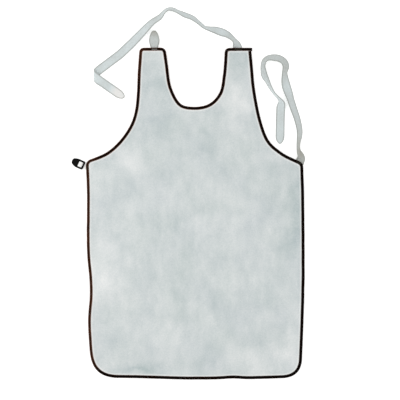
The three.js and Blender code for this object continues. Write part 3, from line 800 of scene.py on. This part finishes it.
def leather_strip(name, frames, section, material, node, shade):
    """Bend a strip of leather through frames, close it, and note where its cut edges and tones are."""
    bm, stations, from_edge, tone = bent_grid(frames, section, "from_edge", "tone")
    half = max(out for out, _ in section)
    for (i, k), v in stations.items():
        across = (half - abs(section[k][0])) * frames[i][1].length
        # The first row is the sewn end, which is cut too.
        tip = (frames[-1][0] - frames[i][0]).length if i else 0
        v[from_edge] = min(across, tip) * MM
        v[tone] = shade(i)
    bmesh.ops.remove_doubles(bm, verts=bm.verts, dist=WELD * MM)
    bmesh.ops.holes_fill(bm, edges=[e for e in bm.edges if e.is_boundary], sides=0)
    bmesh.ops.recalc_face_normals(bm, faces=bm.faces)
    made = piece(name, bm, material, node)
    made.data.set_sharp_from_angle(angle=math.radians(CAP_ANGLE))
    return made


STRAP_SECTION = strip_section(STRAP_WIDTH, STRAP_THICKNESS, STRAP_CURL)
print("strap of", strap_leather.name, "with", len(STRAP_SECTION), "points round its section")

# %% [markdown]
# ## The neck strap
#
# It is sewn behind the right shoulder, rises in a loose bow over the neck and runs down to the left.
# Near its free end it is folded back on itself, and the rounded tip points to the bib again. Past
# the last row of the table the strap is straight, so the fold is one bend of that straight run up and
# over a crease. Near the crease the frames are skewed to lie along it, so that the bend is clean.

# %% Run of the neck strap
# x, y, roll in degrees.
NECK_ROWS = [
    (116, 424, 0), (116, 446, 0), (115, 456, 0), (113, 462, 18), (111, 467, 36), (105, 475, 54),
    (89, 489, 38), (72, 497, 20), (56, 502, 29), (40, 505, 48), (23, 510, 62), (10, 521, 60),
    (-10, 536, 51), (-28, 543, 47), (-50, 553, 59), (-64, 559, 57), (-76, 559, 61), (-87, 551, 61),
    (-98, 538, 47), (-119, 524, 38), (-152, 491, 19), (-178, 465, 6), (-190, 454, 0), (-208, 437, 0),
]
NECK_HEADING = Vector((-0.8, -0.6))
CREASE_X = -272.5
CREASE_RADIUS = 6
END_RUN = 178
RUN_STEPS = 12
FOLD_STEPS = 14


def folding_run(start, heading):
    """Frames of the straight flat run, closer together where it will bend at the crease."""
    to_crease = (CREASE_X - start.x) / heading.x
    past_fold = to_crease + math.pi * CREASE_RADIUS / abs(heading.x)
    spans = [(0, to_crease, RUN_STEPS), (to_crease, past_fold, FOLD_STEPS), (past_fold, END_RUN, RUN_STEPS)]
    frames = []
    for low, high, count in spans:
        for i in range(count):
            distance = low + (high - low) * (i + 1) / count
            origin, across, up = strap_frame(*(start + heading * distance), heading, 0)
            away = max(to_crease - distance, distance - past_fold, 0)
            skew = heading.y / heading.x * (1 - smooth(away, 0, STRAP_WIDTH))
            frames.append((origin, across + heading.to_3d() * skew, up))
    return frames


run_start = Vector(NECK_ROWS[-1][:2])
run_end = run_start + NECK_HEADING * END_RUN
flat_run = folding_run(run_start, NECK_HEADING) + tip_frames(run_end, NECK_HEADING)
print(f"the straight end is {run_length(flat_run):.0f} mm long before it is folded")

# %% Fold of the neck strap
END_SETTLE = 72
FOLD_SLIP = -4
SLIP_RUN = 60


def fold_over(origin, across, up):
    """Roll what lies past the crease up and over, and let the far end settle on the floor."""
    past = CREASE_X - origin.x
    if past <= 0:
        return origin, across, up
    angle = min(past / CREASE_RADIUS, math.pi)
    beyond = past - angle * CREASE_RADIUS
    height = CREASE_RADIUS * (1 - math.cos(angle)) * (1 - smooth(beyond, 0, END_SETTLE))
    height += STRAP_CURL * (1 - math.cos(angle)) / 2
    turn = Matrix.Rotation(angle, 3, "Y")
    slip = FOLD_SLIP * angle / math.pi * (1 - beyond / SLIP_RUN)
    place = Vector((CREASE_X - CREASE_RADIUS * math.sin(angle) + beyond, origin.y + slip, origin.z + height))
    return place, turn @ across, turn @ up


neck_frames = strap_frames(NECK_ROWS) + [fold_over(*f) for f in flat_run]

# %% Neck strap
NECK_TONES = dict(usual=0.8, tip=0.55, on_edge_shade=0.15)
TIP_PALE = (0.923, 0.95)


def neck_shade(i):
    """The tip of the neck strap is paler than the rest, and painted shade darkens it where it stands on edge.
    """
    tip = smooth(i / len(neck_frames), *TIP_PALE)
    lean_shade = 1 - abs(neck_frames[i][2].z)
    return NECK_TONES["usual"] + NECK_TONES["tip"] * tip - NECK_TONES["on_edge_shade"] * lean_shade


neck_strap = leather_strip("long_neck_strap", neck_frames, STRAP_SECTION, strap_leather,
                           "neck_strap", neck_shade)
print(f"neck strap of {len(neck_strap.data.polygons)} faces")

# %% [markdown]
# ## The waist strap
#
# It is sewn behind the right waist corner, leans up on edge as it runs to the top, turns over in a
# bow and comes down again, and its rounded free end lies flat.

# %% Waist strap
# x, y, roll in degrees.
WAIST_ROWS = [
    (275, 117, 0), (283, 133, 0), (288, 146, 0), (288, 158, 34), (282, 173, 60), (281, 187, 64),
    (285, 223, 47), (279, 256, 40), (268, 289, 34), (260, 314, 31), (255, 331, 14), (250, 347, 0),
    (246, 363, 23), (244, 380, 46), (244, 388, 52), (247, 405, 38), (243, 415, 35), (231, 424, 34),
    (216, 427, 36), (198, 425, 50), (189, 418, 58), (185, 404, 64), (189, 379, 52), (197, 363, 66),
    (205, 346, 75), (215, 330, 83), (230, 313, 77), (234, 305, 50), (235, 297, 24), (234, 289, 8),
    (233, 265, 0), (232, 213, 0),
]
WAIST_TONES = dict(usual=0.72, past_bow=0.12, on_edge_shade=0.6, start_shade=0.5)
WAIST_BOW = (0.55, 0.78)
WAIST_START_SHADE = (0.1, 0.16)

waist_end = Vector(WAIST_ROWS[-1][:2])
waist_heading = (waist_end - Vector(WAIST_ROWS[-2][:2])).normalized()
waist_frames = strap_frames(WAIST_ROWS) + tip_frames(waist_end, waist_heading)


def waist_shade(i):
    """Painted shade darkens the waist strap where it leaves the apron, and up to the bow where it stands on
    edge.
    """
    share = i / len(waist_frames)
    past_bow = smooth(share, *WAIST_BOW)
    lean_shade = (1 - abs(waist_frames[i][2].z)) * (1 - past_bow)
    start_shade = 1 - smooth(share, *WAIST_START_SHADE)
    tone = WAIST_TONES["usual"] + WAIST_TONES["past_bow"] * past_bow
    return tone - WAIST_TONES["on_edge_shade"] * lean_shade - WAIST_TONES["start_shade"] * start_shade


waist_strap = leather_strip("waist_tie_strap", waist_frames, STRAP_SECTION, strap_leather,
                            "waist_strap", waist_shade)

# %% [markdown]
# ## The neck loop
#
# A short strip, folded double and sewn behind the left shoulder, leaves a flat loop that the neck
# strap passes through. It is widest half way out and pinched at the top, where its fold is darker
# with painted shade as it turns away. Its table gives the place up the apron, the height and the
# width, out along the lower layer and back along the upper one.

# %% Neck loop
LOOP_X = -113.5
LOOP_THICKNESS = 1.5
# y, height, width.
LOOP_ROWS = [
    (424, 0.75, 18), (454, 0.75, 19), (463, 0.75, 24), (473, 0.75, 28.5), (484, 0.8, 25.5),
    (493, 1.1, 19.5), (499, 2.1, 12), (501.5, 4.8, 6), (499, 7.7, 12), (493, 8.6, 19.5),
    (484, 8.6, 25.5), (473, 7.2, 28.5), (463, 4.2, 24), (455, 2.6, 19), (444, 2.55, 18),
    (424, 2.55, 18),
]
LOOP_STEPS = 6
LOOP_WIDEST = 29
LOOP_TONES = dict(usual=0.55, fold=0.45)
LOOP_FOLD_SHADE = (475, 500)

loop_line = smooth_line([Vector(row) for row in LOOP_ROWS], LOOP_STEPS)
loop_frames = []
for i, (y, z, width) in enumerate(loop_line):
    run = step_at(loop_line, i)
    up = Vector((0, -run.y, run.x)).normalized()
    loop_frames.append((Vector((LOOP_X, y, z)), Vector((width / LOOP_WIDEST, 0, 0)), up))


def loop_shade(i):
    """Painted shade: the loop is darker towards its fold, where it turns away."""
    return LOOP_TONES["usual"] - LOOP_TONES["fold"] * smooth(loop_frames[i][0].y, *LOOP_FOLD_SHADE)


neck_loop = leather_strip("strap_loop", loop_frames, strip_section(LOOP_WIDEST, LOOP_THICKNESS, 0),
                          strap_leather, "neck_loop", loop_shade)

# %% [markdown]
# ## Bar tacks
#
# Each strap, the loop and the tab is held by a bar tack: a short dense row of stitches, each of them
# straight across the binding, sewn last. The one at the loop is in grey thread and shows on the dark
# binding; the others are in a dark olive that hardly shows.

# %% Bar tacks
TACK_PITCH = 1.15
TACK_LENGTH = 5.4
TACK_INSET = 0.7
TACK_WIDTH = 1.1
TACK_RISE = 3.0
# x, y, number of stitches.
TACKS = {
    "loop_bar_tack": (LOOP_X, 450.5, 13),
    "neck_bar_tack": (116, 450.4, 17),
    "waist_bar_tack": (281, 141.5, 13),
    "buckle_bar_tack": (-296.5, 124, 10),
}
grey_thread = thread("grey_bonded_thread", "8a8884", "55534f")
olive_thread = thread("dark_olive_bonded_thread", "2a2a1e", "15150f")
for name, (x, y, count) in TACKS.items():
    nearest = edge_tree.find((x, y, 0))[1] // 2
    heading = (EDGE[(nearest + 1) % len(EDGE)] - EDGE[nearest - 1]).normalized()
    out = EDGE_OUTWARD[nearest].normalized()
    bm = bmesh.new()
    for k in range(count):
        place = EDGE[nearest] + heading * TACK_PITCH * (k - (count - 1) / 2) - out * TACK_INSET
        height = underside(place.x, place.y, 0) + TACK_RISE
        add_stitch(bm, Vector((place.x, place.y, height)), out.to_3d(), UP, TACK_LENGTH, TACK_WIDTH)
    used = grey_thread if name == "loop_bar_tack" else olive_thread
    piece(name, bm, used)
print("bar tacks:", ", ".join(TACKS))

# %% [markdown]
# ## Moulded nylon
#
# The slide buckle is injection moulded in black nylon, which has an index of 1.53. The mould is spark
# eroded, which leaves a fine matt texture of about 0.3 mm, drawn at 0.5 mm so that a near view shows
# it. Handling polishes the buckle in patches.

# %% Nylon
SPARK_MM = 0.5
POLISH_MM = 9
NYLON_IOR = 1.53

nylon, tree = finish_tree("black_moulded_nylon")
place = put(tree, "TexCoord").outputs["Object"]
spark = put(tree, "TexNoise", {"Vector": place, "Scale": 1 / (SPARK_MM * MM), "Detail": 2.0})
polish = put(tree, "TexNoise", {"Vector": place, "Scale": 1 / (POLISH_MM * MM), "Detail": 2.0})
colour = put(tree, "Mix", {"Factor": polish.outputs["Fac"], "A": linear("030303"), "B": linear("0b0b0b")},
             data_type="RGBA")
rough = put(tree, "MapRange", {"Value": polish.outputs["Fac"], "To Min": 0.42, "To Max": 0.6})
matt = put(tree, "Bump", {"Height": spark.outputs["Fac"], "Strength": 0.15, "Distance": 0.1 * MM})
shade = put(tree, "BsdfPrincipled", {
    "Base Color": colour.outputs["Result"], "Roughness": rough.outputs[0], "IOR": NYLON_IOR,
    "Specular IOR Level": 0.05, "Normal": matt.outputs[0]})
put(tree, "OutputMaterial", {"Surface": shade.outputs[0]})
print("made", nylon.name)

# %% [markdown]
# ## The slide buckle
#
# It is one small moulding: a frame with a window, and a broad lip to lift it by. The plan is drawn as
# a few corners, and bevelling those vertices rounds them. The plan is raised, its upper face drops
# towards the tip of the lip, and its rims are bevelled. Boolean modifiers do the rest, so that the
# buckle is one closed shape. They cut the window with a plug that is flared at both ends, so the
# window has rounded rims too. They fuse the grip ribs and the bar that the tab goes round, and they
# cut the way of the tab under the end bar.

# %% Buckle helpers
ROUND_STEPS = 7


def rounded_plan(corners):
    """A bmesh of one flat face through corners, each rounded over the length in its third number."""
    bm = bmesh.new()
    face = bm.faces.new([bm.verts.new((u, v, 0)) for u, v, _ in corners])
    by_round = {}
    for v, (_, _, turn) in zip(face.verts, corners):
        by_round.setdefault(turn, []).append(v)
    for turn, verts in by_round.items():
        bmesh.ops.bevel(bm, geom=verts, offset=turn, segments=ROUND_STEPS, profile=0.5, affect="VERTICES",
                        material=-1)
    return bm


def stack(bm, levels):
    """Raise the one face of a bmesh through levels, each with its height and its size."""
    top, size = bm.faces[:], 1
    for i, (height, grown) in enumerate(levels):
        if i:
            raised = bmesh.ops.extrude_face_region(bm, geom=top)["geom"]
            if i > 1:
                bmesh.ops.delete(bm, geom=top, context="FACES_ONLY")
            top = [g for g in raised if isinstance(g, bmesh.types.BMFace)]
        for v in top[0].verts:
            v.co = (v.co.x * grown / size, v.co.y * grown / size, height)
        size = grown


def block(size, middle):
    """A bmesh of one box."""
    bm = bmesh.new()
    bmesh.ops.create_cube(bm, size=1)
    bmesh.ops.scale(bm, vec=size, verts=bm.verts)
    bmesh.ops.translate(bm, vec=middle, verts=bm.verts)
    return bm


def bare(name, bm):
    """A loose mesh object, for fusing."""
    mesh = bpy.data.meshes.new(name)
    bm.to_mesh(mesh)
    bm.free()
    made = bpy.data.objects.new(name, mesh)
    bpy.context.collection.objects.link(made)
    return made


print("corners of the buckle are rounded in", ROUND_STEPS, "steps")

# %% Buckle plate
# Corners of the plan, in millimetres from the middle of the buckle: along, across, rounding.
PLAN = [
    (16.5, -12, 4), (16.5, 12, 4), (-5.5, 12.4, 3.5), (-19.5, 8, 5.5), (-19.5, -6, 5.5), (-6, -12.2, 4.5),
]
BUCKLE_HEIGHT = 5
LIP_FROM = -5.0
LIP_TIP = -19.5
LIP_DROP = 1.9
LIP_CUTS = (-6, -8, -10, -12, -14, -16, -18)
ON_CUT = 1e-4
RIM = 0.9
RIM_STEPS = 3
RIM_ANGLE = 60
LEVEL_EDGE = 1


def lip_height(u):
    """Height of the upper face along the buckle."""
    return BUCKLE_HEIGHT - LIP_DROP * smooth(-u, -LIP_FROM, -LIP_TIP)


bm = rounded_plan(PLAN)
for u in LIP_CUTS:
    bmesh.ops.bisect_plane(bm, geom=[*bm.verts, *bm.edges, *bm.faces], dist=ON_CUT, plane_co=(u, 0, 0),
                           plane_no=(1, 0, 0))
raised = bmesh.ops.extrude_face_region(bm, geom=bm.faces[:])["geom"]
for v in (g for g in raised if isinstance(g, bmesh.types.BMVert)):
    v.co.z = lip_height(v.co.x)
bmesh.ops.recalc_face_normals(bm, faces=bm.faces)
rims = [e for e in bm.edges if e.calc_face_angle() > math.radians(RIM_ANGLE)
        and abs(e.verts[0].co.z - e.verts[1].co.z) < LEVEL_EDGE]
bmesh.ops.bevel(bm, geom=rims, offset=RIM, segments=RIM_STEPS, profile=0.5, affect="EDGES", material=-1)
plate = bare("plate", bm)
print(f"plate {BUCKLE_HEIGHT} mm high, {lip_height(LIP_TIP):.1f} mm at the tip of the lip")

# %% Window, bar, ribs and the way of the tab
WINDOW = [(6.05, -7.5, 1.5), (6.05, 7.5, 1.5), (-6.05, 7.5, 1.5), (-6.05, -7.5, 1.5)]
WINDOW_MIDDLE = 5.75
# Levels of the plug that cuts the window: height, size.
PLUG = [(-1, 1.1), (0, 1.1), (0.25, 1.04), (0.75, 1), (4.25, 1), (4.75, 1.04), (5, 1.1), (6, 1.1)]
BAR = dict(u=3.5, z=3.1, radius=1.6, length=17, sides=24)
RIBS = dict(first=-16, step=3.2, count=3, v=0.5, length=1.3, width=10, height=0.7, sunk=0.6, round=0.45)
TAB_WAY = dict(low=(11.0, -7.5, -1.0), high=(17.5, 7.5, 2.7))

bm = rounded_plan(WINDOW)
stack(bm, PLUG)
bmesh.ops.translate(bm, vec=(WINDOW_MIDDLE, 0, 0), verts=bm.verts)
bmesh.ops.recalc_face_normals(bm, faces=bm.faces)
parts = [bare("window", bm)]

bm = bmesh.new()
across_buckle = Matrix.Translation((BAR["u"], 0, BAR["z"])) @ Matrix.Rotation(math.pi / 2, 4, "X")
bmesh.ops.create_cone(bm, cap_ends=True, segments=BAR["sides"], radius1=BAR["radius"],
                      radius2=BAR["radius"], depth=BAR["length"], matrix=across_buckle)
parts.append(bare("bar", bm))

for k in range(RIBS["count"]):
    u = RIBS["first"] + k * RIBS["step"]
    foot = lip_height(u)
    bm = block((RIBS["length"], RIBS["width"], RIBS["height"] + RIBS["sunk"]),
               (u, RIBS["v"], foot + (RIBS["height"] - RIBS["sunk"]) / 2))
    crests = [e for e in bm.edges if e.verts[0].co.z > foot and e.verts[1].co.z > foot]
    bmesh.ops.bevel(bm, geom=crests, offset=RIBS["round"], segments=3, profile=0.5, affect="EDGES",
                    material=-1)
    parts.append(bare(f"rib_{k}", bm))

low, high = Vector(TAB_WAY["low"]), Vector(TAB_WAY["high"])
parts.append(bare("tab_way", block(high - low, (low + high) / 2)))
print("to cut or fuse:", ", ".join(part.name for part in parts))

# %% Slide buckle
BUCKLE_PLACE = (-321.8, 137, 0)
BUCKLE_TURN = -24
CRISP_ANGLE = 40

for part in parts:
    fuse = plate.modifiers.new("fuse " + part.name, "BOOLEAN")
    fuse.operation = "DIFFERENCE" if part.name in ("window", "tab_way") else "UNION"
    fuse.solver = "EXACT"
    fuse.object = part
fused = plate.evaluated_get(bpy.context.evaluated_depsgraph_get()).to_mesh()
bm = bmesh.new()
bm.from_mesh(fused)
turned = Matrix.Rotation(math.radians(BUCKLE_TURN), 4, "Z")
buckle_matrix = Matrix.Translation(Vector(BUCKLE_PLACE) * MM) @ turned @ Matrix.Scale(MM, 4)
bmesh.ops.transform(bm, matrix=buckle_matrix, verts=bm.verts)
for loose in (plate, *parts):
    bpy.data.objects.remove(loose)
buckle = piece("moulded_slide_buckle", bm, nylon, "slide_buckle")
buckle.data.set_sharp_from_angle(angle=math.radians(CRISP_ANGLE))
print(f"buckle of {len(buckle.data.polygons)} faces")

# %% [markdown]
# ## The buckle tab
#
# A short strip of undyed split leather, off-white and with the same nap, goes round the middle bar of
# the buckle, comes back on itself and is sewn under the waist corner. In the photograph only a pale
# patch in the window gives it away. The strip is one bent grid: out along the floor, round the bar,
# and back on top of itself under the end bar.

# %% Buckle tab
TAB_WIDTH = 14.4
TAB_LAYER = 1.2
TAB_GAP = 0.12
TAB_END = 46
TAB_EYE = 2.5
TAB_EYE_FROM = -90
TAB_EYE_SWEEP = 215
TAB_EYE_STEPS = 14
TAB_RUN_STEPS = 12
TAB_BACK = 10.5
TAB_TONE = 0.6

tab_leather = split_leather("off_white_split_cowhide", ("f0f1ee", "f1f0ec"), "fdfdfc", "fefefd",
                            "e2e3df", (0.3, 1.6), 0.6)
route = [Vector((TAB_END + (BAR["u"] - TAB_END) * i / TAB_RUN_STEPS, TAB_LAYER / 2))
         for i in range(TAB_RUN_STEPS)]
for i in range(TAB_EYE_STEPS + 1):
    angle = math.radians(TAB_EYE_FROM - TAB_EYE_SWEEP * i / TAB_EYE_STEPS)
    route.append(Vector((BAR["u"], BAR["z"])) + TAB_EYE * Vector((math.cos(angle), math.sin(angle))))
route += [Vector((TAB_BACK + (TAB_END - TAB_BACK) * i / TAB_RUN_STEPS, 1.5 * TAB_LAYER + TAB_GAP))
          for i in range(TAB_RUN_STEPS + 1)]
tab_frames = []
turned = Matrix.Rotation(math.radians(BUCKLE_TURN), 3, "Z")
for i, (u, z) in enumerate(route):
    run = step_at(route, i).normalized()
    origin = Vector(BUCKLE_PLACE) + turned @ Vector((u, 0, z))
    tab_frames.append((origin, turned @ Vector((0, 1, 0)), turned @ Vector((-run.y, 0, run.x))))
tab = leather_strip("buckle_keeper_tab", tab_frames, strip_section(TAB_WIDTH, TAB_LAYER, 0), tab_leather,
                    "buckle_tab", lambda i: TAB_TONE)

# %% [markdown]
# ## The sheets
#
# The leather pieces are sheets, each cut flat from the hide, and they are listed here. The area of the
# panel's cut is less than that of its rectangle, because of the neck and arm curves.

print("sheets:", ", ".join(sheet.name for sheet in (panel, neck_strap, waist_strap, neck_loop, tab)))

# %% [markdown]
# ## Sizes
# The finer shapes may stand a little proud of the solids, but the apron keeps its size. The box of
# the dressed apron is printed here.

# %% Sizes and finish
low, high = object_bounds()
print("dressed apron:", " by ".join(f"{(b - a) / MM:.0f}" for a, b in zip(low, high)), "mm")
